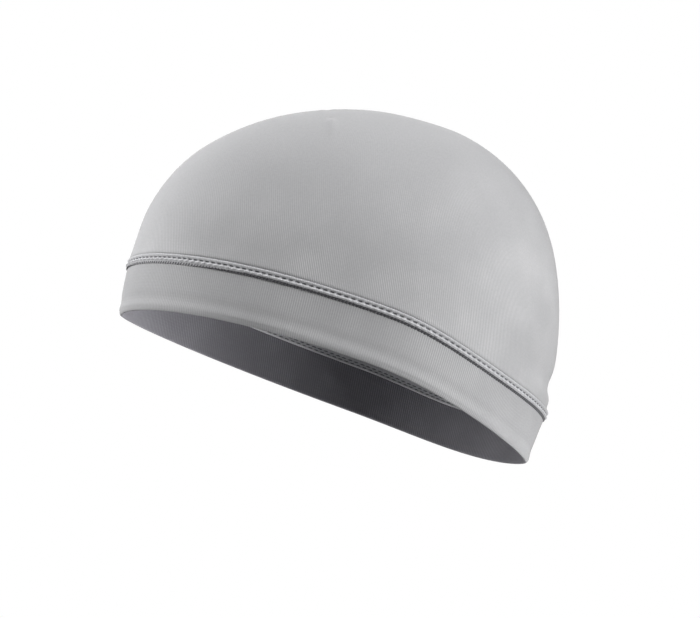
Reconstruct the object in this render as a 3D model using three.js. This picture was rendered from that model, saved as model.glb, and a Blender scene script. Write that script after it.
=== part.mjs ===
// A stretch-knit helmet liner: a close skull cap made of a crown, a doubled headband and the raised seam
// between them. It has the form it takes on a head. Millimetres, +Z up, -Y to the wearer's forehead and
// +X to the wearer's left. The origin is the highest point of the hollow, where the crown lies on the head.
import * as THREE from "three";
import { mergeVertices } from "three/addons/utils/BufferGeometryUtils.js";

// Driving dimensions
const RIM_TILT = 19.6; // degrees that the rim falls from the forehead to the nape
const CROWN_WALL = 1.2; // one layer of knit
const BAND_WALL = 2.0; // the same knit, doubled
const BAND_HEIGHT = 20.2; // from the folded rim to the seam
const SEAM_HEIGHT = 5.2; // width of the raised seam
const SEAM_PROUD = 1.2; // how far the seam stands out of the cloth
const SEAM_SINK = 0.4; // how far it stands into the hollow
const PIECE_GAP = 0.3; // gap between neighbouring pieces
const CAP_HEIGHT = 130.8; // from the plane of the rim to the apex over it

// Mesh steps
const AROUND = 72; // steps round the head
const UP_THE_CROWN = 13; // steps from the seam to the apex
const FOLD_STEPS = 4; // steps round the folded rim
const SEAM_CORNER = 1.5; // radius of the seam's rounded outer corners
const APEX_CLIMB = 90; // degrees that the crown has climbed at the apex
const WALK_STEP = 0.25; // degrees from one look at the hollow's middle line to the next
const SAME_POINT = 1e-4; // corners nearer than this are one

// Sections of the cap are level with the rim. Each is an egg-shaped oval about the line under the apex.
// front, back and half: its reach to the forehead, to the nape and to each side.
// taperFront, taperBack: 0.5 is an ellipse, and more draws that end towards a point.
// rise: how far the section arches up over the ears.
// riseFront, riseBack: how late the arch begins from each end.
const RIM_SECTION = {
  front: 113.6, back: 84.7, half: 74.6, taperFront: 0.6, taperBack: 0.66,
  rise: 6.0, riseFront: 0.65, riseBack: 1.95,
};
const SEAM_SECTION = {
  front: 117.4, back: 85.2, half: 75.0, taperFront: 0.59, taperBack: 0.65,
  rise: 6.5, riseFront: 0.65, riseBack: 3.3,
};

// The crown's sections, by the angle that each has climbed from the seam, at 0, to the apex, at 90
const CROWN_SECTIONS = [
  { climb: 0, front: 118.2, back: 84.9, half: 74.8, taperFront: 0.58, taperBack: 0.62 },
  { climb: 15, front: 117.8, back: 80.8, half: 74.0, taperFront: 0.56, taperBack: 0.58 },
  { climb: 30, front: 109.2, back: 72.8, half: 68.6, taperFront: 0.52, taperBack: 0.54 },
  { climb: 45, front: 91.0, back: 61.2, half: 58.6, taperFront: 0.5, taperBack: 0.51 },
  { climb: 60, front: 67.2, back: 45.4, half: 45.2, taperFront: 0.5, taperBack: 0.5 },
  { climb: 75, front: 37.6, back: 25.6, half: 27.4, taperFront: 0.5, taperBack: 0.5 },
  { climb: 90, front: 0.0, back: 0.0, half: 0.0, taperFront: 0.5, taperBack: 0.5 },
];
const CROWN_COLUMNS = ["front", "back", "half", "taperFront", "taperBack"];
const SEAM_TOP = BAND_HEIGHT + 2 * PIECE_GAP + SEAM_HEIGHT; // height of the crown's lower edge

const radians = THREE.MathUtils.degToRad;

// The point of a section at an angle round the head: 0 is the forehead, 90 degrees the wearer's left and
// 180 the nape.
function sectionPoint(section, angle, height) {
  const along = Math.cos(angle);
  const across = Math.sin(angle);
  const reach = along > 0 ? section.front : section.back;
  const lateness = along > 0 ? section.riseFront : section.riseBack;
  const taper = along > 0 ? section.taperFront : section.taperBack;
  const x = Math.sign(across) * Math.abs(across) ** (2 * taper) * section.half;
  const arch = section.rise * Math.abs(across) ** (2 * lateness);
  return new THREE.Vector3(x, -along * reach, height + arch);
}

// One ring of points round a section.
function sectionRing(section, height) {
  return Array.from({ length: AROUND }, (_, i) => sectionPoint(section, (2 * Math.PI * i) / AROUND, height));
}

// A section with each reach less by the same depth of cloth.
function inset(section, depth) {
  return {
    ...section,
    front: section.front - depth,
    back: section.back - depth,
    half: section.half - depth,
  };
}

// The outer section of the band and seam at a height over the rim.
function bandSection(height) {
  const share = height / (BAND_HEIGHT + PIECE_GAP);
  const mixed = {};
  for (const column of Object.keys(RIM_SECTION)) {
    mixed[column] = THREE.MathUtils.lerp(RIM_SECTION[column], SEAM_SECTION[column], Math.min(share, 1));
  }
  return mixed;
}

// The crown's section and height where it has climbed by so many degrees, on a smooth curve through the
// table's rows.
const crownCurve = new THREE.CubicInterpolant(
  CROWN_SECTIONS.map((row) => row.climb),
  CROWN_SECTIONS.flatMap((row) => CROWN_COLUMNS.map((column) => row[column])),
  CROWN_COLUMNS.length,
);
function crownLevel(climb, depth) {
  const values = crownCurve.evaluate(climb);
  const shrink = 1 - depth / CROWN_SECTIONS[0].front;
  const section = {
    front: values[0] * shrink,
    back: values[1] * shrink,
    half: values[2] * shrink,
    taperFront: values[3],
    taperBack: values[4],
    rise: SEAM_SECTION.rise * (1 - climb / APEX_CLIMB),
    riseFront: SEAM_SECTION.riseFront,
    riseBack: SEAM_SECTION.riseBack,
  };
  const height = SEAM_TOP + (CAP_HEIGHT - depth - SEAM_TOP) * Math.sin(radians(climb));
  return { section, height };
}

// Skins a list of rings into one closed surface. A ring of one point is a pole.
// Without poles the last ring joins the first.
// Rings run so that the outer wall rises and the inner wall falls.
function skin(rings) {
  const triangles = [];
  const corner = (ring, i) => ring[i % ring.length];
  const closed = rings[0].length > 1;
  const bands = closed ? rings.length : rings.length - 1;
  for (let level = 0; level < bands; level++) {
    const low = rings[level];
    const high = rings[(level + 1) % rings.length];
    for (let i = 0; i < AROUND; i++) {
      const a = corner(low, i);
      const b = corner(low, i + 1);
      const c = corner(high, i + 1);
      const d = corner(high, i);
      if (low.length > 1) triangles.push(a, b, d);
      if (high.length > 1) triangles.push(low.length > 1 ? b : a, c, d);
    }
  }
  return mergeVertices(new THREE.BufferGeometry().setFromPoints(triangles), SAME_POINT);
}

// The crown: one layer of knit from the seam up to the apex, hollow below.
function crownGeometry() {
  const climbs = Array.from({ length: UP_THE_CROWN }, (_, i) => (APEX_CLIMB * i) / UP_THE_CROWN);
  const wall = (depth) =>
    climbs.map((climb) => {
      const { section, height } = crownLevel(climb, depth);
      return sectionRing(section, height);
    });
  const pole = (depth) => [new THREE.Vector3(0, 0, CAP_HEIGHT - depth)];
  const innerWall = wall(CROWN_WALL).reverse();
  return skin([pole(CROWN_WALL), ...innerWall, ...wall(0), pole(0)]);
}

// The headband: doubled knit with a soft fold along its rim.
function headbandGeometry() {
  const foldRadius = BAND_WALL / 2;
  const fold = Array.from({ length: FOLD_STEPS + 1 }, (_, i) => {
    const turn = (Math.PI * i) / FOLD_STEPS;
    return { depth: foldRadius * (1 + Math.cos(turn)), height: foldRadius * (1 - Math.sin(turn)) };
  });
  const middle = BAND_HEIGHT / 2;
  const loop = [
    { depth: BAND_WALL, height: BAND_HEIGHT },
    { depth: BAND_WALL, height: middle },
    ...fold,
    { depth: 0, height: middle },
    { depth: 0, height: BAND_HEIGHT },
  ];
  return skin(loop.map(({ depth, height }) => sectionRing(inset(bandSection(height), depth), height)));
}

// The raised seam: a flat cord of turned-in cloth under its stitches, round on the outside.
function seamGeometry() {
  const foot = BAND_HEIGHT + PIECE_GAP;
  const top = foot + SEAM_HEIGHT;
  const inside = BAND_WALL + SEAM_SINK;
  const slope = SEAM_CORNER * (1 - Math.SQRT1_2);
  const loop = [
    { depth: inside, height: top },
    { depth: inside, height: foot },
    { depth: SEAM_CORNER - SEAM_PROUD, height: foot },
    { depth: slope - SEAM_PROUD, height: foot + slope },
    { depth: -SEAM_PROUD, height: foot + SEAM_CORNER },
    { depth: -SEAM_PROUD, height: top - SEAM_CORNER },
    { depth: slope - SEAM_PROUD, height: top - slope },
    { depth: SEAM_CORNER - SEAM_PROUD, height: top },
  ];
  return skin(loop.map(({ depth, height }) => sectionRing(inset(SEAM_SECTION, depth), height)));
}

// The highest point of the hollow once the rim is tilted, found by walking the inner wall's middle line.
function topOfHollow() {
  const tilt = radians(-RIM_TILT);
  const axis = new THREE.Vector3(1, 0, 0);
  let best = new THREE.Vector3(0, 0, -Infinity);
  for (let climb = 0; climb <= APEX_CLIMB; climb += WALK_STEP) {
    const { section, height } = crownLevel(climb, CROWN_WALL);
    const point = sectionPoint(section, 0, height).applyAxisAngle(axis, tilt);
    if (point.z > best.z) best = point;
  }
  return best;
}

// One smooth knit of polyester and elastane in a light grey, a little darker where it is doubled and stitched
function knit(color) {
  return new THREE.MeshStandardMaterial({ color, roughness: 0.85, metalness: 0 });
}

function piece(name, geometry, material) {
  geometry.computeVertexNormals();
  const mesh = new THREE.Mesh(geometry, material);
  mesh.name = name;
  return mesh;
}

const liner = new THREE.Group();
liner.rotation.x = radians(-RIM_TILT);
liner.position.copy(topOfHollow().negate());
liner.add(piece("crown", crownGeometry(), knit("#b4b4b6")));
liner.add(piece("headband", headbandGeometry(), knit("#adadaf")));
liner.add(piece("seam_welt", seamGeometry(), knit("#a3a3a5")));

const part = new THREE.Group();
part.add(liner);

export default part;
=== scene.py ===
"""A stretch-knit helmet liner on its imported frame: crown, raised seam, headband and their stitches.

Lengths are in millimetres until a mesh is made, and in metres from there on.
"""

import logging
import math
from dataclasses import dataclass, fields
from enum import Enum, IntEnum

import bmesh
import bpy
import numpy as np
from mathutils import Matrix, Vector


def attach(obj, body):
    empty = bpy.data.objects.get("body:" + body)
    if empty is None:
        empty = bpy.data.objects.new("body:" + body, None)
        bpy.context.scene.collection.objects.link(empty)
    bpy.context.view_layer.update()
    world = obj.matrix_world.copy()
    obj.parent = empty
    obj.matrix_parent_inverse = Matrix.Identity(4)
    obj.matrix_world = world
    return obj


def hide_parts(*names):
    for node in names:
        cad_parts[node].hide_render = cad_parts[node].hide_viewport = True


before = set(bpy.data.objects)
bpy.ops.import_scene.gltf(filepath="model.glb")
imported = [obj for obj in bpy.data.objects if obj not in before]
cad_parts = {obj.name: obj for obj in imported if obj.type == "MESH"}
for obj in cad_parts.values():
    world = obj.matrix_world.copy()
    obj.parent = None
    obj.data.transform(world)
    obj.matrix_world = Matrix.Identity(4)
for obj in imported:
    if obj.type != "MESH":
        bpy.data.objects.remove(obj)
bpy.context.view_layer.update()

log = logging.getLogger("helmet_liner")

MM = 0.001  # metres in a millimetre
BODY = "root"
APEX_CLIMB = 90  # degrees that the crown has climbed at the apex
WALK_STEP = 0.25  # degrees from one look at the hollow's middle line to the next
FINE_STEPS = 7200  # steps round the head where the seam's length is summed

Numbers = np.ndarray | float  # an array, or one number for all of it
Table = tuple[tuple[float, ...], ...]
Piece = bpy.types.Object
Tree = bpy.types.NodeTree
Socket = bpy.types.NodeSocket


# Small formulas


def bell(distance: Numbers, spread: Numbers) -> Numbers:
    """A bell curve: e raised to minus the square of the distance over its spread."""
    return np.exp(-((distance / spread) ** 2))


def soft_step(distance: Numbers, softness: float) -> Numbers:
    """A step from 0 to 1: one over one plus e raised to minus the distance over its softness."""
    return 1 / (1 + np.exp(-distance / softness))


def unit(directions: np.ndarray) -> np.ndarray:
    """Directions divided by their lengths."""
    return directions / np.linalg.norm(directions, axis=-1, keepdims=True)


def path_length(points: np.ndarray) -> np.ndarray:
    """Length of a path up to each of its points, summed over the steps between them."""
    return np.concatenate([[0.0], np.cumsum(np.linalg.norm(np.diff(points, axis=0), axis=1))])


def slow_waves(angle: np.ndarray, rows: Table) -> np.ndarray:
    """Sines of the angle added up, from rows of a height, a count round the head and a start."""
    return sum(height * np.sin(count * angle + start) for height, count, start in rows)


# The form of the cap, as in the part's source


@dataclass(frozen=True)
class Section:
    """An egg-shaped level section of the cap, in millimetres.

    front, back and half are its reach to the forehead, to the nape and to each side. A taper of 0.5 is an
    ellipse, and more draws that end towards a point. rise is how far the section arches up over the ears,
    and rise_front and rise_back are how late the arch begins from each end.
    """

    front: float
    back: float
    half: float
    taper_front: float
    taper_back: float
    rise: float
    rise_front: float
    rise_back: float

    def points(self, angle: Numbers, height: Numbers, depth: Numbers) -> np.ndarray:
        """Points of the section, inset by a depth of cloth.

        Formula: y is minus the cosine of the angle times the reach, x is the sine raised to twice the taper
        times the half width, and z is the height plus the rise times the sine raised to twice its lateness.

        Args:
            angle: angles round the head; 0 is the forehead and 90 degrees the wearer's left.
            height: heights over the plane of the rim.
            depth: depths of cloth inside the section, negative where the cloth stands out.

        Returns:
            An array of the inputs' common shape with x, y and z last.
        """
        angle, height, depth = np.broadcast_arrays(angle, height, depth)
        along = np.cos(angle)
        across = np.sin(angle)
        ahead = along > 0
        reach = np.where(ahead, self.front, self.back) - depth
        taper = np.where(ahead, self.taper_front, self.taper_back)
        lateness = np.where(ahead, self.rise_front, self.rise_back)
        x = np.sign(across) * np.abs(across) ** (2 * taper) * (self.half - depth)
        z = height + self.rise * np.abs(across) ** (2 * lateness)
        return np.stack([x, -along * reach, z], axis=-1)

    def mixed(self, other: "Section", share: float) -> "Section":
        """The section that lies a share of the way to another."""
        names = [field.name for field in fields(self)]
        return Section(**{n: (1 - share) * getattr(self, n) + share * getattr(other, n) for n in names})


@dataclass(frozen=True)
class CapForm:
    """The cap's driving sizes and its outer surface, in millimetres."""

    tilt: float = 19.6
    band_wall: float = 2.0
    crown_wall: float = 1.2
    band_height: float = 20.2
    seam_height: float = 5.2
    piece_gap: float = 0.3
    cap_height: float = 130.8
    # Columns: front, back, half, taper at the front and back, rise, its lateness at the front and back
    rim: Section = Section(113.6, 84.7, 74.6, 0.60, 0.66, 6.0, 0.65, 1.95)
    seam: Section = Section(117.4, 85.2, 75.0, 0.59, 0.65, 6.5, 0.65, 3.3)
    # Columns: climb in degrees, front, back, half, taper at the front, taper at the back
    crown: Table = (
        (0, 118.2, 84.9, 74.8, 0.58, 0.62),
        (15, 117.8, 80.8, 74.0, 0.56, 0.58),
        (30, 109.2, 72.8, 68.6, 0.52, 0.54),
        (45, 91.0, 61.2, 58.6, 0.50, 0.51),
        (60, 67.2, 45.4, 45.2, 0.50, 0.50),
        (75, 37.6, 25.6, 27.4, 0.50, 0.50),
        (90, 0.0, 0.0, 0.0, 0.50, 0.50),
    )

    @property
    def seam_foot(self) -> float:
        """Height of the seam's lower edge."""
        return self.band_height + self.piece_gap

    @property
    def seam_top(self) -> float:
        """Height of the crown's lower edge."""
        return self.seam_foot + self.seam_height + self.piece_gap

    def crown_row(self, climb: float) -> np.ndarray:
        """The crown's table at a climb, on a Catmull-Rom curve through its rows.

        Formula: each end is carried on by a straight phantom row, and each span is the usual cubic of its
        four nearest rows.

        Args:
            climb: degrees that the crown has climbed from the seam.

        Returns:
            The table's columns after the climb.
        """
        table = np.array(self.crown)
        rows = np.vstack([2 * table[0] - table[1], table, 2 * table[-1] - table[-2]])[:, 1:]
        step = table[1, 0] - table[0, 0]
        span = min(int(climb / step), len(table) - 2)
        t = climb / step - span
        before, low, high, after = rows[span : span + 4]
        cubic = 3 * (low - high) + after - before
        square = 2 * before - 5 * low + 4 * high - after
        return low + 0.5 * t * (high - before + t * (square + t * cubic))

    def crown_section(self, climb: float, depth: float) -> Section:
        """The crown's section at a climb in degrees, drawn in by a depth of its wall at the forehead."""
        front, back, half, *tapers = self.crown_row(climb)
        shrink = 1 - depth / self.crown[0][1]
        rise = self.seam.rise * (1 - climb / APEX_CLIMB)
        lateness = (self.seam.rise_front, self.seam.rise_back)
        return Section(front * shrink, back * shrink, half * shrink, *tapers, rise, *lateness)

    def crown_ring(self, climb: float, angle: Numbers, depth: float) -> np.ndarray:
        """One ring of the crown at a climb in degrees and a depth in its wall, at angles round the head."""
        climbed = math.sin(math.radians(climb))
        height = self.seam_top + (self.cap_height - depth - self.seam_top) * climbed
        return self.crown_section(climb, depth).points(angle, height, 0.0)

    def band_points(self, angle: np.ndarray, height: np.ndarray, depth: np.ndarray) -> np.ndarray:
        """Rings of the headband, one for each height and its depth.

        Formula: the section changes evenly from the rim's to the seam's with the height.

        Args:
            angle: angles round the head, one for each column.
            height: height of each ring over the rim.
            depth: depth of each ring in the cloth, or one row of depths for each height.

        Returns:
            An array of rings, columns and x, y, z.
        """
        depth = np.broadcast_to(depth.reshape(len(height), -1), (len(height), len(angle)))
        sections = [self.rim.mixed(self.seam, min(h / self.seam_foot, 1.0)) for h in height]
        return np.stack([s.points(angle, h, d) for s, h, d in zip(sections, height, depth)])

    def top_of_hollow(self) -> np.ndarray:
        """The highest point of the tilted hollow, found by walking the inner wall's middle line."""
        climbs = np.arange(0, APEX_CLIMB + WALK_STEP / 2, WALK_STEP)
        tilted = self.tilted(np.stack([self.crown_ring(c, 0.0, self.crown_wall) for c in climbs]))
        return tilted[np.argmax(tilted[:, 2])]

    def tilted(self, points: np.ndarray) -> np.ndarray:
        """Points turned about the X axis, so that the rim falls towards the nape."""
        turn = math.radians(-self.tilt)
        y = points[..., 1] * math.cos(turn) - points[..., 2] * math.sin(turn)
        z = points[..., 1] * math.sin(turn) + points[..., 2] * math.cos(turn)
        return np.stack([points[..., 0], y, z], axis=-1)

    def placed(self, points: np.ndarray) -> np.ndarray:
        """Points of the level cap as they lie in the part's frame, still in millimetres."""
        return self.tilted(points) - self.top_of_hollow()

    def seam_lengths(self) -> tuple[np.ndarray, np.ndarray]:
        """Finely stepped angles round the head, and the seam's length up to each of them."""
        fine = np.linspace(0, 2 * np.pi, FINE_STEPS + 1)
        return fine, path_length(self.seam.points(fine, 0.0, 0.0))

    def even_angles(self, count: int) -> np.ndarray:
        """Angles that part the seam into stretches of equal length, read back from its lengths."""
        fine, length = self.seam_lengths()
        return np.interp(np.arange(count) * length[-1] / count, length, fine)

    def girth(self) -> float:
        """The seam's length round the head."""
        return float(self.seam_lengths()[1][-1])


# Meshes


class Ends(Enum):
    """How the rings of a skin end."""

    LOOP = "the last ring joins the first"
    POLES = "the first and last rings are each closed by one point"


def made_object(name: str, points: np.ndarray, faces: list, uvs: np.ndarray | None = None) -> Piece:
    """A smooth object from points and faces.

    Args:
        name: name of the object and its mesh.
        points: its points, in metres.
        faces: the numbers of each face's points.
        uvs: the place on the cloth of each face's corners, in metres, or nothing for no UV map.

    Returns:
        The new object, in the scene.
    """
    mesh = bpy.data.meshes.new(name)
    mesh.from_pydata(points.tolist(), [], faces)
    if uvs is not None:
        layer = mesh.uv_layers.new(name="cloth")
        layer.data.foreach_set("uv", uvs.astype(np.float32).ravel())
    mesh.polygons.foreach_set("use_smooth", np.ones(len(mesh.polygons), dtype=bool))
    mesh.update()
    made = bpy.data.objects.new(name, mesh)
    bpy.context.scene.collection.objects.link(made)
    return made


def skin(name: str, rings: np.ndarray, girth: float, ends: Ends) -> Piece:
    """Skins rings of points round the head into one closed surface.

    Each quad joins two neighbours of a ring to the same two of the next ring. The faces lie row by row, and
    the fans of triangles at the first and last pole come at the end. The UV map runs girth round the head.

    Args:
        name: name of the object.
        rings: array of rings, columns and x, y, z in millimetres. With poles, the first and last rings are
            at their pole in every column.
        girth: length of the cloth round the head, in millimetres.
        ends: how the rings end.

    Returns:
        The new object.
    """
    count, around = rings.shape[:2]
    points = rings.reshape(-1, 3) * MM
    grid = np.arange(count * around).reshape(count, around)
    beside = np.roll(grid, -1, axis=1)
    above = np.roll(grid, -1, axis=0)
    quads = np.stack([grid, beside, np.roll(beside, -1, axis=0), above], axis=-1)
    up = path_length(rings[:, 0])
    rise = np.append(np.diff(up), np.linalg.norm(rings[0, 0] - rings[-1, 0]))
    u = (np.arange(around)[:, None] + np.array([0, 1, 1, 0])) * (girth / around)
    v = up[:, None, None] + rise[:, None, None] * np.array([0, 0, 1, 1])
    uv = np.stack(np.broadcast_arrays(u, v), axis=-1) * MM
    if ends is Ends.LOOP:
        return made_object(name, points, quads.reshape(-1, 4).tolist(), uv.reshape(-1, 2))
    low_corners, high_corners = [0, 2, 3], [0, 1, 2]
    low_fan = quads[0][:, low_corners]
    low_fan[:, 0] = grid[0, 0]
    high_fan = quads[-2][:, high_corners]
    high_fan[:, 2] = grid[-1, 0]
    faces = quads[1:-2].reshape(-1, 4).tolist() + low_fan.tolist() + high_fan.tolist()
    corners = (uv[1:-2], uv[0][:, low_corners], uv[-2][:, high_corners])
    made = made_object(name, points, faces, np.concatenate([c.reshape(-1, 2) for c in corners]))
    drop_loose_points(made)
    return made


def drop_loose_points(made: Piece) -> None:
    """Deletes the points of a mesh that no face uses."""
    work = bmesh.new()
    work.from_mesh(made.data)
    loose = [v for v in work.verts if not v.link_faces]
    bmesh.ops.delete(work, geom=loose, context="VERTS")
    work.to_mesh(made.data)
    work.free()


def face_directions(rings: np.ndarray) -> np.ndarray:
    """Unit directions square to a face of rings: the step round the head crossed with the step up."""
    round_it = np.roll(rings, -1, axis=1) - np.roll(rings, 1, axis=1)
    return unit(np.cross(round_it, np.gradient(rings, axis=0)))


def finish_faces(made: Piece, finishes: tuple[bpy.types.Material, ...], index: np.ndarray) -> None:
    """Gives an object its materials, and each face the one that its index names."""
    for finish in finishes:
        made.data.materials.append(finish)
    made.data.polygons.foreach_set("material_index", index.astype(np.int32))
    made.data.update()


@dataclass(frozen=True)
class Track:
    """Places round the seam with their directions, one row for each stitch."""

    at: np.ndarray
    along: np.ndarray
    out: np.ndarray
    up: np.ndarray

    def repeated(self, name: str, template: tuple[np.ndarray, np.ndarray]) -> Piece:
        """One object of a template set at each place.

        Formula: a template point's three numbers are its distances along, up and out from the place.

        Args:
            name: name of the object.
            template: the template's points, in millimetres, and its faces.

        Returns:
            The new object.
        """
        points, faces = template
        axes = np.stack([self.along, self.up, self.out], axis=1)
        laid = self.at[:, None] + np.einsum("pk,nkx->npx", points, axes)
        shifted = faces + (np.arange(len(self.at)) * len(points))[:, None, None]
        return made_object(name, laid.reshape(-1, 3) * MM, shifted.reshape(-1, faces.shape[1]).tolist())


@dataclass(frozen=True)
class Stitch:
    """One short stitch of thread in its own axes: along the seam, up it and out of the cloth.

    length, rise and lean are half of its reach along, up and out. arch is how far its middle stands out over
    its ends, which lie sink below its place. A bluntness near 1 draws its ends to a point.
    """

    length: float
    rise: float
    arch: float
    radius: float
    lean: float = 0.0
    sink: float = 0.0
    bluntness: float = 1.05
    points: int = 6
    sides: int = 5
    least_radius: float = 0.02

    def template(self) -> tuple[np.ndarray, np.ndarray]:
        """The stitch as a tube, to repeat.

        Formula: seen from outside the path is straight. Its height and thickness go with the root of the
        bluntness minus the square of the share of the way from its middle. At each of its points stands a
        circle, spanned by two directions square to the path.

        Returns:
            The tube's points, in millimetres, and its faces of four corners.
        """
        share = np.linspace(-1, 1, self.points)
        bow = np.sqrt(self.bluntness - share**2)
        out = self.arch * bow + self.lean * share - self.sink
        path = np.stack([self.length * share, self.rise * share, out], axis=-1)
        radius = self.radius * bow + self.least_radius
        ahead = unit(np.gradient(path, axis=0))
        side = unit(np.cross(ahead, np.array([0.0, 0.0, 1.0])))[:, None]
        over = np.cross(side, ahead[:, None])
        turn = (2 * np.pi * np.arange(self.sides) / self.sides)[:, None]
        points = path[:, None] + (np.cos(turn) * side + np.sin(turn) * over) * radius[:, None, None]
        grid = np.arange(self.points * self.sides).reshape(self.points, self.sides)
        beside = np.roll(grid, -1, axis=1)
        faces = np.stack([grid[:-1], grid[1:], beside[1:], beside[:-1]], axis=-1)
        return points.reshape(-1, 3), faces.reshape(-1, 4)


# Finishes


def linear(hex_colour: str) -> tuple[float, float, float, float]:
    """A colour in sRGB hex as linear red, green, blue and alpha, by the sRGB standard's curve."""
    channels = [int(hex_colour[i : i + 2], 16) / 255 for i in (1, 3, 5)]
    light = [c / 12.92 if c <= 0.04045 else ((c + 0.055) / 1.055) ** 2.4 for c in channels]
    return (*light, 1.0)


def feed(tree: Tree, node: bpy.types.Node, **links: object) -> None:
    """Sets a node's inputs to values, or links them to other nodes' outputs.

    Args:
        tree: the node tree.
        node: the node.
        links: input name, with _ for a space, or in_N for input N, to a value or to an output socket.
    """
    for key, value in links.items():
        socket = node.inputs[int(key[3:])] if key.startswith("in_") else node.inputs[key.replace("_", " ")]
        if isinstance(value, Socket):
            tree.links.new(value, socket)
        else:
            socket.default_value = value


def add_node(tree: Tree, kind: str, settings: dict | None = None, **links: object) -> bpy.types.Node:
    """Adds a node with its settings and its inputs.

    Args:
        tree: the node tree.
        kind: the node's type.
        settings: values of the node's own properties.
        links: its inputs, as feed takes them.

    Returns:
        The new node.
    """
    node = tree.nodes.new(kind)
    for key, value in (settings or {}).items():
        setattr(node, key, value)
    feed(tree, node, **links)
    return node


def calculated(tree: Tree, operation: str, *values: Socket | float) -> Socket:
    """The output of a new node that calculates with values and other outputs."""
    links = {f"in_{i}": value for i, value in enumerate(values)}
    return add_node(tree, "ShaderNodeMath", {"operation": operation}, **links).outputs[0]


def ranged(tree: Tree, value: Socket, low: float, high: float, to_low: float, to_high: float) -> Socket:
    """A value brought from the range low to high to another range, and held at its ends."""
    limits = {"From_Min": low, "From_Max": high, "To_Min": to_low, "To_Max": to_high}
    return add_node(tree, "ShaderNodeMapRange", Value=value, **limits).outputs[0]


def noise(tree: Tree, place: Socket, grain_mm: float, **settings: float) -> Socket:
    """A soft noise whose grains are of the given size."""
    scale = 1 / (grain_mm * MM)
    return add_node(tree, "ShaderNodeTexNoise", Vector=place, Scale=scale, **settings).outputs[0]


def wave(tree: Tree, across: Socket, pitch_mm: float) -> Socket:
    """A rounded wave from 0 to 1 of the given pitch: half of one plus the sine of the distance."""
    turn = calculated(tree, "MULTIPLY", across, 2 * math.pi / (pitch_mm * MM))
    return calculated(tree, "MULTIPLY_ADD", calculated(tree, "SINE", turn), 0.5, 0.5)


def new_material(name: str) -> tuple[bpy.types.Material, Tree, bpy.types.Node]:
    """A new material, its node tree and its shader node."""
    made = bpy.data.materials.new(name)
    made.use_nodes = True
    return made, made.node_tree, made.node_tree.nodes["Principled BSDF"]


def set_finish(tree: Tree, shader: bpy.types.Node, finish: object, share: Socket, relief: Socket) -> None:
    """Gives a shader a finish: how matt it is, its colour by a share, and its relief.

    Args:
        tree: the node tree.
        shader: the shader node.
        finish: the finish, a SmoothKnit or a SpunThread.
        share: each place's share of the colour, the rest being the furrow's.
        relief: each place's share of the relief.
    """
    size = {"Strength": finish.relief_strength, "Distance": finish.relief_mm * MM}
    bump = add_node(tree, "ShaderNodeBump", Height=relief, **size)
    colours = {"in_6": linear(finish.furrow), "in_7": linear(finish.colour)}
    mix = add_node(tree, "ShaderNodeMix", {"data_type": "RGBA"}, in_0=share, **colours)
    feed(tree, shader, Base_Color=mix.outputs[2], Normal=bump.outputs[0])
    feed(tree, shader, Roughness=finish.roughness, Sheen_Weight=finish.sheen)


@dataclass(frozen=True)
class SmoothKnit:
    """Single jersey of polyester and elastane, warm-pressed: matt, with fine columns of stitches.

    Its columns and rows are drawn wider than the real ones, so that they just show. slant is how far a
    column leans as it rises. The columns are weaker in patches, and fade up to the height smooth_above_mm.
    """

    name: str
    colour: str
    furrow: str
    column_mm: float = 1.05
    row_mm: float = 1.4
    slant: float = 0.6
    relief_mm: float = 0.10
    relief_strength: float = 0.6
    contrast: float = 0.5
    row_share: float = 0.12
    fuzz_share: float = 0.4
    fuzz_mm: float = 0.9
    patch_mm: float = 28.0
    patch_range: tuple[float, float] = (0.35, 0.65)
    patch_least: float = 0.35
    smooth_above_mm: float = 0.0
    fade_mm: float = 50.0
    fade_least: float = 0.15
    roughness: float = 0.88
    gloss: float = 0.25
    sheen: float = 0.18
    sheen_roughness: float = 0.45

    def build(self) -> bpy.types.Material:
        """The knit's material.

        Formula: a slanted wave across the cloth draws the columns. They and a fuzz of fine noise set the
        colour and, with a faint wave for the rows, the relief.
        """
        made, tree, shader = new_material(self.name)
        feed(tree, shader, Specular_IOR_Level=self.gloss, Sheen_Roughness=self.sheen_roughness)
        cloth = add_node(tree, "ShaderNodeUVMap", {"uv_map": "cloth"})
        split = add_node(tree, "ShaderNodeSeparateXYZ", Vector=cloth.outputs[0])
        lean = calculated(tree, "MULTIPLY_ADD", split.outputs[1], self.slant, split.outputs[0])
        column = wave(tree, lean, self.column_mm)
        row = wave(tree, split.outputs[1], self.row_mm)
        place = add_node(tree, "ShaderNodeTexCoord").outputs["Object"]
        patches = noise(tree, place, self.patch_mm, Detail=2.0, Roughness=0.5)
        fuzz = noise(tree, place, self.fuzz_mm, Detail=3.0, Roughness=0.6)
        patched = ranged(tree, patches, *self.patch_range, self.patch_least, 1.0)
        height = add_node(tree, "ShaderNodeSeparateXYZ", Vector=place).outputs[2]
        fade_end = self.smooth_above_mm * MM
        faded = ranged(tree, height, fade_end - self.fade_mm * MM, fade_end, 1.0, self.fade_least)
        ribs = calculated(tree, "MULTIPLY", column, calculated(tree, "MULTIPLY", patched, faded))
        soft = calculated(tree, "MULTIPLY", fuzz, self.fuzz_share)
        tone = calculated(tree, "MULTIPLY_ADD", ribs, self.contrast, soft)
        level = ranged(tree, tone, 0.0, self.fuzz_share + self.contrast, 0.0, 1.0)
        rows = calculated(tree, "MULTIPLY_ADD", row, self.row_share, ribs)
        relief = calculated(tree, "MULTIPLY_ADD", fuzz, self.fuzz_share, rows)
        set_finish(tree, shader, self, level, relief)
        return made


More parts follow.
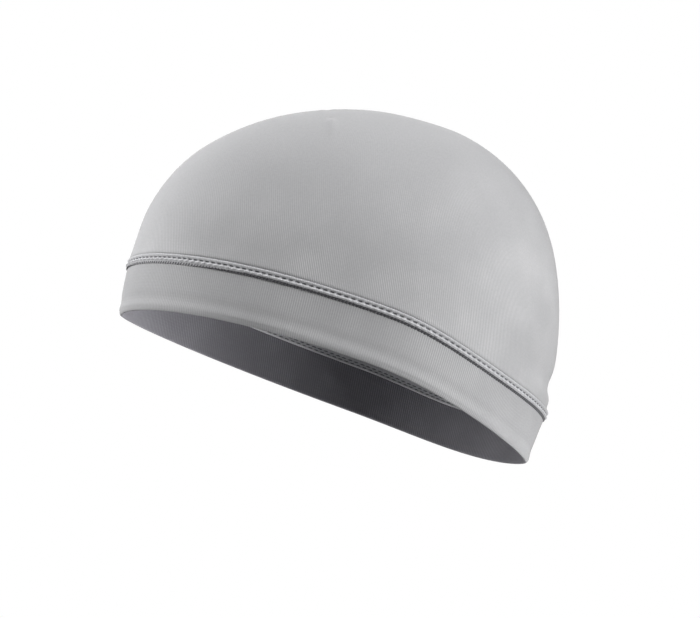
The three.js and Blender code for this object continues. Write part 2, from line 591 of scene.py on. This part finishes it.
@dataclass(frozen=True)
class SpunThread:
    """Spun polyester sewing thread: matt, with a fine twist that only shows as a little fuzz."""

    name: str
    colour: str
    furrow: str
    grain_mm: float = 0.35
    relief_mm: float = 0.05
    relief_strength: float = 0.4
    roughness: float = 0.7
    sheen: float = 0.15

    def build(self) -> bpy.types.Material:
        """The thread's material: a fine noise sets its colour and its relief."""
        made, tree, shader = new_material(self.name)
        place = add_node(tree, "ShaderNodeTexCoord").outputs["Object"]
        grain = noise(tree, place, self.grain_mm, Detail=2.0)
        set_finish(tree, shader, self, grain, grain)
        return made


@dataclass(frozen=True)
class PaleFloor:
    """Matt painted board, nearly white, which the camera sees as bright as the ground behind it."""

    name: str = "matt_white_board"
    colour: str = "#eeeeee"
    roughness: float = 0.9

    def build(self) -> bpy.types.Material:
        """The floor's material: paint for the light that falls on it, and a plain glow for the camera."""
        made, tree, shader = new_material(self.name)
        feed(tree, shader, Base_Color=linear(self.colour), Roughness=self.roughness)
        glow = add_node(tree, "ShaderNodeEmission").outputs[0]
        seen = add_node(tree, "ShaderNodeLightPath").outputs["Is Camera Ray"]
        mix = add_node(tree, "ShaderNodeMixShader", in_0=seen, in_1=shader.outputs[0], in_2=glow)
        feed(tree, tree.nodes["Material Output"], Surface=mix.outputs[0])
        return made


class Finishes:
    """The liner's finishes, each built once."""

    def __init__(self) -> None:
        """Builds the materials."""
        self.crown = SmoothKnit(
            "grey_jersey", "#cacacb", "#9a9a9c", slant=0.5, contrast=0.75, smooth_above_mm=-30.0
        ).build()
        # The band's jersey is the crown's, coloured darker all over: painted shade.
        self.band = SmoothKnit("grey_jersey_doubled_painted_shade", "#bcbcbd", "#939395", slant=0.05, contrast=0.6).build()
        # The band's inside and the inner half of its fold: the same jersey coloured much darker, painted
        # shade in the hollow.
        self.reverse = SmoothKnit(
            "grey_jersey_band_inside_painted_shade", "#8a898e", "#5a595e",
            column_mm=1.1, slant=0.15, relief_mm=0.2, contrast=1.0,
        ).build()
        self.seam = SmoothKnit("turned_in_jersey", "#c6c6c8", "#aaaaad", contrast=0.2).build()
        self.seam_reverse = SmoothKnit(
            "turned_in_jersey_reverse", "#cacacc", "#a8a8ab", contrast=0.3
        ).build()
        # Jersey in the needle holes, coloured darker: painted shade in the dents.
        self.hole = SmoothKnit("jersey_in_needle_hole", "#8c8c8f", "#6c6c6f", contrast=0.3).build()
        # Darker jersey under the raised roll and between its cover threads, in the upper crease and on the
        # lower edge: painted shade.
        self.seam_painted_shade = SmoothKnit("cut_edge_of_jersey", "#5e5e61", "#414144", contrast=0.3).build()
        self.crown_reverse = SmoothKnit("grey_jersey_single_reverse", "#cccccf", "#aeaeb1").build()
        self.thread = SpunThread("pale_grey_thread", "#d4d4d6", "#b4b4b7").build()
        self.dark_thread = SpunThread("mid_grey_thread", "#68686b", "#4c4c4f").build()


# Sub-assemblies


@dataclass
class Crown:
    """The crown: one layer of jersey over the head, with four short darts meeting at the top.

    It reaches down into the seam by the tuck. Widths, rise, fall, radius and spreads are those of bell
    curves. darts_above and dart_centre are in the part's frame, and climbs and the faces' ends in degrees.
    """

    form: CapForm
    around: int = 360
    outer_rows: int = 150
    inner_rows: int = 60
    outer_end: float = 89.4
    inner_end: float = 89.0
    tuck: float = 1.0
    edge_depth: float = 0.55
    darts: int = 4
    darts_above: float = -40.0
    dart_centre: float = -4.3
    dart_length: float = 38.0
    dart_width: float = 1.2
    dart_depth: float = 0.2
    dart_start: float = -1.0
    start_softness: float = 0.8
    end_softness: float = 1.0
    shoulder_share: float = 0.4
    shoulder_place: float = 3.0
    shoulder_width: float = 1.8
    pucker_gap: float = 4.5
    pucker_height: float = 1.15
    pucker_width: float = 2.0
    pucker_rise: float = 2.8
    pucker_fall: float = 7.0
    dimple_depth: float = 0.3
    dimple_radius: float = 1.5
    bulge_height: float = 0.7
    bulge_climb: float = 2.4
    bulge_spread: float = 1.3
    hollow_depth: float = 1.4
    hollow_climb: float = 6.0
    hollow_spread: float = 3.0
    nape_spread: float = 0.6
    # Columns: height, how many round the head, turn with each degree of climb, turn at the seam
    waves: Table = ((0.20, 3, 0.07, 0.0), (0.14, 5, -0.05, 1.3), (0.10, 8, 0.11, 0.4))

    def relief(self, points: np.ndarray) -> np.ndarray:
        """Height of the darts' low relief at points of the part's frame.

        Formula: each dart is a bell-shaped furrow with a low shoulder on both sides. At its end is a dimple
        and past that a pucker, shorter on the dart's side, each a bell curve along and across the dart.

        Args:
            points: points with x, y and z last, in millimetres.

        Returns:
            The height at each point, in millimetres.
        """
        total = np.zeros(points.shape[:-1])
        level = points[..., :2] - np.array([0.0, self.dart_centre])
        for turn in range(0, 360, 360 // self.darts):
            cosine, sine = math.cos(math.radians(turn)), math.sin(math.radians(turn))
            along = level[..., 0] * cosine + level[..., 1] * sine
            across = level[..., 1] * cosine - level[..., 0] * sine
            past_end = along - self.dart_length
            inside = soft_step(along - self.dart_start, self.start_softness)
            inside *= soft_step(-past_end, self.end_softness)
            shoulder = self.shoulder_share * bell(np.abs(across) - self.shoulder_place, self.shoulder_width)
            total += self.dart_depth * (shoulder - bell(across, self.dart_width)) * inside
            beyond = past_end - self.pucker_gap
            slope = np.where(beyond < 0, self.pucker_rise, self.pucker_fall)
            total += self.pucker_height * bell(beyond, slope) * bell(across, self.pucker_width)
            total -= self.dimple_depth * bell(np.hypot(past_end, across), self.dimple_radius)
        return np.where(points[..., 2] > self.darts_above, total, 0.0)

    def swell(self, angle: np.ndarray, climb: float) -> np.ndarray:
        """Soft unevenness of the drawn cloth round one ring.

        Formula: slow waves that grow with the sine of twice the climb up to half way and fade with the root
        of its cosine from there. At the nape a bulge over the seam and a hollow above it, as bell curves.

        Args:
            angle: angles round the head.
            climb: degrees that the ring has climbed.

        Returns:
            The swell at each angle, in millimetres.
        """
        rise = math.radians(climb)
        share = math.sin(2 * rise) if climb < APEX_CLIMB / 2 else math.sqrt(math.cos(rise))
        rows = tuple((height, count, turn * climb + start) for height, count, turn, start in self.waves)
        nape = self.bulge_height * bell(climb - self.bulge_climb, self.bulge_spread)
        nape -= self.hollow_depth * bell(climb - self.hollow_climb, self.hollow_spread)
        return share * slow_waves(angle, rows) + nape * bell(angle - np.pi, self.nape_spread)

    def wall(self, climbs: np.ndarray, depth: float, angle: np.ndarray) -> np.ndarray:
        """Rings of one face of the crown, in the part's frame, with its relief pushed out along the face.

        Args:
            climbs: climb of each ring, in degrees.
            depth: depth of the face in the wall.
            angle: angles round the head, one for each column.

        Returns:
            An array of rings, columns and x, y, z.
        """
        rings = self.form.placed(np.stack([self.form.crown_ring(c, angle, depth) for c in climbs]))
        swell = np.stack([self.swell(angle, c) for c in climbs])
        return rings + face_directions(rings) * (self.relief(rings) + swell)[..., None]

    def pole(self, depth: float) -> np.ndarray:
        """A ring gathered into the top point, at a depth in the wall."""
        top = self.form.placed(np.array([0.0, 0.0, self.form.cap_height - depth]))
        return np.broadcast_to(top, (1, self.around, 3))

    def build(self) -> Piece:
        """The crown's closed wall: the inner face from the top down, then the outer face back up."""
        form = self.form
        angle = form.even_angles(self.around)
        face = self.wall(np.linspace(0, self.outer_end, self.outer_rows), 0.0, angle)
        back = self.wall(np.linspace(0, self.inner_end, self.inner_rows), form.crown_wall, angle)[::-1]
        base = form.crown_section(0.0, 0.0)
        foot = form.seam_top - self.tuck
        edges = np.stack([base.points(angle, foot, d) for d in (form.crown_wall, self.edge_depth)])
        rings = (self.pole(form.crown_wall), back, form.placed(edges), face, self.pole(0.0))
        return skin("crown_knit", np.concatenate(rings), form.girth(), Ends.POLES)

    def dress(self, made: Piece, finishes: Finishes) -> None:
        """Gives the outside and the inside, which has the first rows and the first fan, their knit."""
        inside = np.zeros(len(made.data.polygons))
        inside[: self.inner_rows * self.around] = 1
        inside[-2 * self.around : -self.around] = 1
        finish_faces(made, (finishes.crown, finishes.crown_reverse), inside)
        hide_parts("crown")
        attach(made, BODY)


@dataclass
class Headband:
    """The headband: the jersey doubled, with a soft fold along the rim.

    It reaches up into the seam by the tuck. Heights are over the rim, and spreads are those of bell curves.
    """

    form: CapForm
    around: int = 360
    face_rows: int = 36
    fold_rows: int = 16
    fold_height: float = 2.0
    roll_height: float = 2.6
    roll_spread: float = 1.5
    roll_swell: float = 0.16
    dip_height: float = 6.2
    dip_spread: float = 2.2
    dip_depth: float = 0.22
    tuck: float = 0.9
    # Columns: height, how many round the head, turn at the forehead
    waves: Table = ((0.22, 7, 0.6), (0.16, 11, 2.1), (0.12, 4, 0.0))

    def outer_depth(self, height: np.ndarray, angle: np.ndarray) -> np.ndarray:
        """Depth of the outer face: a soft roll over the fold, a shallow dip above it, and slow waves.

        Formula: the roll and the dip are bell curves of the height, and the waves are sines of the angle
        that fade towards the seam and the rim.

        Args:
            height: height of each ring over the rim.
            angle: angles round the head.

        Returns:
            One row of depths for each height.
        """
        h = height[:, None]
        roll = self.roll_swell * bell(h - self.roll_height, self.roll_spread)
        dip = self.dip_depth * bell(h - self.dip_height, self.dip_spread)
        share = np.sin(np.pi * np.clip(h / self.form.band_height, 0, 1))
        return dip - roll - share * slow_waves(angle, self.waves)

    def build(self) -> Piece:
        """The band's closed wall: the inner face down, round the fold, and the outer face up.

        Formula: the fold is a quarter circle inside and a taller quarter ellipse outside.
        """
        form = self.form
        angle = form.even_angles(self.around)
        radius = form.band_wall / 2
        top = form.band_height + self.tuck
        inner_height = np.linspace(top, radius, self.face_rows)
        turn = np.linspace(0, np.pi, self.fold_rows + 2)[1:-1]
        reach = np.where(turn < np.pi / 2, radius, self.fold_height)
        outer_height = np.linspace(self.fold_height, top, self.face_rows)
        inner = form.band_points(angle, inner_height, np.full(self.face_rows, form.band_wall))
        fold = form.band_points(angle, reach * (1 - np.sin(turn)), radius * (1 + np.cos(turn)))
        outer = form.band_points(angle, outer_height, self.outer_depth(outer_height, angle))
        rings = form.placed(np.concatenate([inner, fold, outer]))
        return skin("headband_knit", rings, form.girth(), Ends.LOOP)

    def dress(self, made: Piece, finishes: Finishes) -> None:
        """Gives the outside its knit, and the inside, half the fold and the upper edge a darker knit:
        painted shade.
        """
        inside = np.zeros(len(made.data.polygons))
        # The inside and the inner half of the fold take the darker knit: painted shade.
        inside[: (self.face_rows + self.fold_rows // 2 + 1) * self.around] = 1
        inside[-self.around :] = 1
        finish_faces(made, (finishes.band, finishes.reverse), inside)
        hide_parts("headband")
        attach(made, BODY)


class SeamFace(IntEnum):
    """What a face of the seam shows, as its place in the seam's row of materials."""

    ROLL = 0
    INSIDE = 1
    # Painted shade: the strip under the roll, the upper crease and the lower edge.
    PAINTED_SHADE = 2
    # Painted shade in the needle holes.
    HOLE_SHADE = 3


@dataclass
class Seam:
    """The raised seam with its needle row, its cover threads and the stitch rows inside it.

    Heights are over the seam's foot, and proud is how far something stands out of the band. The painted
    shade under the roll shows up to its given height, and less towards the forehead, where more light
    reaches under the roll, once the cosine of the angle nears its given start.
    """

    form: CapForm
    stitches: int = 172
    steps_a_stitch: int = 10
    outer_rows: int = 40
    hole_height: float = 3.15
    hole_half_height: float = 0.36
    hole_half_length: float = 1.0
    hole_depth: float = 0.45
    roll_height: float = 4.1
    roll_spread: float = 0.9
    gather: float = 0.09
    crease_height: float = 4.82
    # Painted shade under the roll: its height, and how it narrows towards the forehead.
    shade_height: float = 1.45
    shade_from: float = 0.85
    shade_fade: float = 0.3
    shade_least: float = 0.25
    bead_height: float = 2.15
    bead_proud: float = 0.84
    cover_height: float = 0.75
    cover_proud: float = 0.20
    inner_proud: float = 0.8
    inner_thread_share: float = 0.45
    low_row: float = 1.15
    high_row: float = 2.3
    # Columns: height and how far the outside stands out there
    outside: Table = (
        (0.0, -0.45), (0.5, 0.10), (1.0, 0.42), (1.5, 0.66), (2.1, 0.84), (2.7, 0.80),
        (3.15, 0.70), (3.6, 0.98), (4.1, 1.20), (4.6, 1.12), (4.95, 0.80), (5.2, 0.20),
    )
    # Columns: height and how far the inside stands into the hollow there, as a share of inner_proud
    inside: Table = (
        (5.2, -0.6), (4.6, 0.25), (3.6, 0.60), (2.75, 0.72), (2.3, 0.45),
        (1.8, 0.85), (1.15, 0.50), (0.7, 1.00), (0.3, 0.90), (0.0, -0.2),
    )

    @property
    def around(self) -> int:
        """How many columns the seam's rings have."""
        return self.stitches * self.steps_a_stitch

    @property
    def pitch(self) -> float:
        """Length of one stitch along the seam, in millimetres."""
        return self.form.girth() / self.stitches

    @property
    def heights(self) -> np.ndarray:
        """Heights of the outer face's rings."""
        return np.linspace(0.0, self.form.seam_height, self.outer_rows)

    def from_hole(self) -> np.ndarray:
        """Distance of each column from its nearest needle hole, along the seam, in millimetres."""
        share = (np.arange(self.around) % self.steps_a_stitch) / self.steps_a_stitch
        return np.minimum(share, 1 - share) * self.pitch

    def outer_proud(self) -> np.ndarray:
        """How far the outer face stands out, a row of columns for each height.

        Formula: the face follows its table on straight lines. Each needle hole is a long dent, a bell curve
        of the height times one of the fourth power of the distance along the seam, and the roll over it
        swells and sinks a little from stitch to stitch, as a cosine.
        """
        height = self.heights[:, None]
        apart = self.from_hole()
        proud = np.interp(height, *np.array(self.outside).T)
        dent = bell(height - self.hole_height, self.hole_half_height)
        dent = dent * bell(apart**2, self.hole_half_length**2)
        swell = np.cos(np.pi * apart / apart.max()) * bell(height - self.roll_height, self.roll_spread)
        return proud - self.hole_depth * dent - self.gather * swell

    def build(self) -> Piece:
        """The seam's closed cord: the inner face down, the lower edge, and the outer face up."""
        form = self.form
        angle = form.even_angles(self.around)
        loop = [(height, form.band_wall + share * self.inner_proud) for height, share in self.inside]
        loop += zip(self.heights, -self.outer_proud())
        rings = [form.seam.points(angle, form.seam_foot + height, depth) for height, depth in loop]
        return skin("seam_welt_knit", form.placed(np.stack(rings)), form.girth(), Ends.LOOP)

    def face_index(self) -> np.ndarray:
        """What each face shows, by rows: the inner face, the lower edge and the outer face.

        Formula: a face is judged by its middle. A hole, painted in shade, reaches half its height and half
        its length from its centre. Painted shade also covers the lower edge, the strip under the roll up to
        its given height, less towards the forehead, and the strip above the upper crease.
        """
        inner = len(self.inside)
        row = np.arange(inner + self.outer_rows)[:, None]
        middle = self.heights[np.maximum(row - inner, 0)] + 0.5 * self.heights[1]
        apart = self.from_hole()
        near_hole = 0.5 * (apart + np.roll(apart, -1)) < self.hole_half_length
        # Faces in a needle hole, painted in shade.
        in_hole = near_hole & (np.abs(middle - self.hole_height) < self.hole_half_height)
        # The painted shade under the roll narrows towards the forehead, where more light reaches under it.
        shade_share = (self.shade_from - np.cos(self.form.even_angles(self.around))) / self.shade_fade
        edge = self.shade_height * np.clip(shade_share, self.shade_least, 1.0)
        # Faces painted in shade: the lower edge, the strip under the roll and the upper crease.
        cut = (row < inner) | (middle < edge) | (middle > self.crease_height)
        shown = [SeamFace.INSIDE, SeamFace.PAINTED_SHADE, SeamFace.HOLE_SHADE]
        return np.select([row < inner - 1, cut, in_hole], shown, SeamFace.ROLL).ravel()

    def dress(self, made: Piece, finishes: Finishes) -> None:
        """Finishes the roll and the inside, and paints shade into the holes, the lower strip and the crease.
        """
        row = (finishes.seam, finishes.seam_reverse, finishes.seam_painted_shade, finishes.hole)
        finish_faces(made, row, self.face_index())
        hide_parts("seam_welt")
        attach(made, BODY)

    def track(self, height: float, depth: float, count: int, shift: float = 0.0) -> Track:
        """Places of equal spacing round the seam with their directions.

        Formula: along is the step from just before a place to just after it, out is square to along and to
        the step up, and up is square to both.

        Args:
            height: height over the seam's foot.
            depth: depth in the cloth, negative where the place stands out.
            count: how many places.
            shift: share of a spacing to move them by.

        Returns:
            The places, in the part's frame, in millimetres.
        """
        form = self.form
        step = 0.002  # radians
        even = np.append(form.even_angles(count), 2 * np.pi)
        angle = np.interp(np.arange(count) + shift, np.arange(count + 1), even)

        def at(turn: float, lift: float) -> np.ndarray:
            """The places after a small turn round the head and a lift."""
            return form.placed(form.seam.points(angle + turn, form.seam_foot + height + lift, depth))

        here = at(0.0, 0.0)
        along = unit(at(step, 0.0) - at(-step, 0.0))
        out = unit(np.cross(along, at(0.0, 1.0) - here))
        return Track(here, along, out, np.cross(out, along))

    def needle_row(self) -> Piece:
        """The needle thread: a short bead below and between the holes, slanted from one to the next."""
        bead = Stitch(
            length=0.40 * self.pitch, rise=0.16, arch=0.30, radius=0.36,
            sink=0.22, bluntness=1.02, points=7, sides=6,
        )
        track = self.track(self.bead_height, -self.bead_proud, self.stitches, 0.5)
        return track.repeated("needle_stitches", bead.template())

    def cover_row(self) -> Piece:
        """The cover threads: slanted stitches close together over the cut edge, two for each hole."""
        slanted = Stitch(length=0.60, rise=0.62, arch=0.12, radius=0.20, lean=0.30)
        track = self.track(self.cover_height, -self.cover_proud, 2 * self.stitches)
        return track.repeated("cover_stitches", slanted.template())

    def inner_row(self, name: str, height: float, shift: float) -> Piece:
        """A row of thread inside the cap, lying in its furrow: flat dashes with a gap between them.

        Args:
            name: name of the row.
            height: height of the furrow.
            shift: share of a stitch to move the dashes by.

        Returns:
            The new object.
        """
        dash = Stitch(length=0.36 * self.pitch, rise=0.08, arch=0.12, radius=0.26)
        depth = self.form.band_wall + self.inner_thread_share * self.inner_proud
        track = self.track(height, depth, self.stitches, shift)
        inward = Track(track.at, track.along, -track.out, -track.up)
        return inward.repeated(name, dash.template())

    def stitched(self, finishes: Finishes) -> list[Piece]:
        """The four rows of thread, each with its finish."""
        rows = (
            (self.needle_row(), finishes.thread),
            (self.cover_row(), finishes.dark_thread),
            (self.inner_row("inner_stitches_low", self.low_row, 0.0), finishes.dark_thread),
            (self.inner_row("inner_stitches_high", self.high_row, 0.5), finishes.dark_thread),
        )
        for made, finish in rows:
            made.data.materials.append(finish)
            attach(made, BODY)
        return [made for made, _ in rows]


# Studio


def heading(azimuth: float, elevation: float) -> Vector:
    """The unit direction at an azimuth and an elevation in degrees."""
    turn, rise = math.radians(azimuth), math.radians(elevation)
    return Vector((math.cos(rise) * math.cos(turn), math.cos(rise) * math.sin(turn), math.sin(rise)))


def stand(name: str, data: bpy.types.ID, place: Vector, away: Vector) -> Piece:
    """A new camera or light at a place in metres, which looks against the direction away."""
    made = bpy.data.objects.new(name, data)
    made.location = place
    made.rotation_euler = away.to_track_quat("Z", "Y").to_euler()
    bpy.context.scene.collection.objects.link(made)
    return made


class Lamp(Enum):
    """The two kinds of studio light used."""

    SOFTBOX = "AREA"
    SOFT_SPOT = "SPOT"


@dataclass(frozen=True)
class StudioLight:
    """A soft light: the direction to it from what it is aimed at, in degrees, and its distance in metres.

    size is a softbox's width and height in metres. For a soft spot it is the radius of the lit patch and the
    radius of its face. aim is in millimetres.
    """

    name: str
    azimuth: float
    elevation: float
    watts: float
    size: tuple[float, float] = (0.5, 0.8)
    distance: float = 1.2
    lamp: Lamp = Lamp.SOFTBOX
    aim: tuple[float, float, float] = (0.0, 0.0, -85.0)

    def build(self) -> None:
        """Adds the light, turned to its aim."""
        data = bpy.data.lights.new(self.name, self.lamp.value)
        data.energy = self.watts
        if self.lamp is Lamp.SOFTBOX:
            data.shape = "RECTANGLE"
            data.size, data.size_y = self.size
        else:
            data.spot_size = 2 * math.atan(self.size[0] / self.distance)
            data.spot_blend = 1.0
            data.shadow_soft_size = self.size[1]
        away = heading(self.azimuth, self.elevation)
        stand(self.name, data, Vector(self.aim) * MM + away * self.distance, away)


@dataclass
class Studio:
    """White ground, a plain pale floor, soft lights and the camera at the photograph's angle.

    The camera's target and distance are in millimetres, and its sight and the floor in metres. fill is the
    world's light on the liner, as a share of the white that the camera sees.
    """

    target: tuple[float, float, float] = (0.0, 7.51, -90.02)
    distance: float = 1300.0
    elevation: float = -9.645
    azimuth: float = -4.530
    focal_px: float = 2831.46
    frame_px: int = 700
    film_mm: float = 36.0
    sight: float = 20.0
    floor_height: float = -1.25
    floor_half: float = 4.0
    fill: float = 0.02
    # Columns: name, azimuth, elevation, watts, and what differs from a plain softbox
    lights: tuple[StudioLight, ...] = (
        StudioLight("top_side_box", 0, 62, 6.5, (0.9, 0.6)),
        StudioLight("top_front_box", -90, 55, 10.2, (0.9, 0.6)),
        StudioLight("top_front_far_box", -120, 40, 2.8, (0.9, 0.6)),
        StudioLight("front_box", -100, 0, 10.4),
        StudioLight("back_near_box", 40, 5, 3.2),
        StudioLight("back_box", 58, 5, 12.8),
        StudioLight("far_side_box", 180, 20, 2.4),
        StudioLight("under_spot", 85, -38, 30.0, (0.08, 0.06), 0.6, Lamp.SOFT_SPOT, (-20.0, -100.0, -100.0)),
    )

    def camera(self) -> None:
        """Sets the camera on its line of sight to the target, with a lens of its focal length."""
        data = bpy.data.cameras.new("camera")
        data.sensor_width = self.film_mm
        data.lens = self.film_mm * self.focal_px / self.frame_px
        data.clip_end = self.sight
        away = heading(self.azimuth, self.elevation)
        place = (Vector(self.target) + away * self.distance) * MM
        bpy.context.scene.camera = stand("camera", data, place, away)

    def ground(self) -> None:
        """A white world for the camera with a softer fill light, and the floor."""
        world = bpy.data.worlds.new("white_ground")
        world.use_nodes = True
        bpy.context.scene.world = world
        tree = world.node_tree
        seen = add_node(tree, "ShaderNodeLightPath").outputs["Is Camera Ray"]
        strength = ranged(tree, seen, 0.0, 1.0, self.fill, 1.0)
        feed(tree, tree.nodes["Background"], Color=(1, 1, 1, 1), Strength=strength)
        half, height = self.floor_half, self.floor_height
        corners = np.array([[x * half, y * half, height] for x, y in ((-1, -1), (1, -1), (1, 1), (-1, 1))])
        floor = made_object("floor", corners, [[0, 1, 2, 3]])
        floor.data.materials.append(PaleFloor().build())

    def build(self) -> None:
        """Camera, ground and lights."""
        bpy.context.scene.view_settings.view_transform = "Standard"
        self.camera()
        self.ground()
        for light in self.lights:
            light.build()


def main() -> None:
    """Builds the studio and the liner's sub-assemblies, and reports each piece."""
    logging.basicConfig(level=logging.INFO, format="%(name)s: %(message)s")
    Studio().build()
    form = CapForm()
    finishes = Finishes()
    crown, band, seam = Crown(form), Headband(form), Seam(form)
    pieces = []
    for assembly in (crown, band, seam):
        made = assembly.build()
        assembly.dress(made, finishes)
        pieces.append(made)
    pieces += seam.stitched(finishes)
    for made in pieces:
        log.info("%s: %d faces", made.name, len(made.data.polygons))


if __name__ == "__main__":
    main()
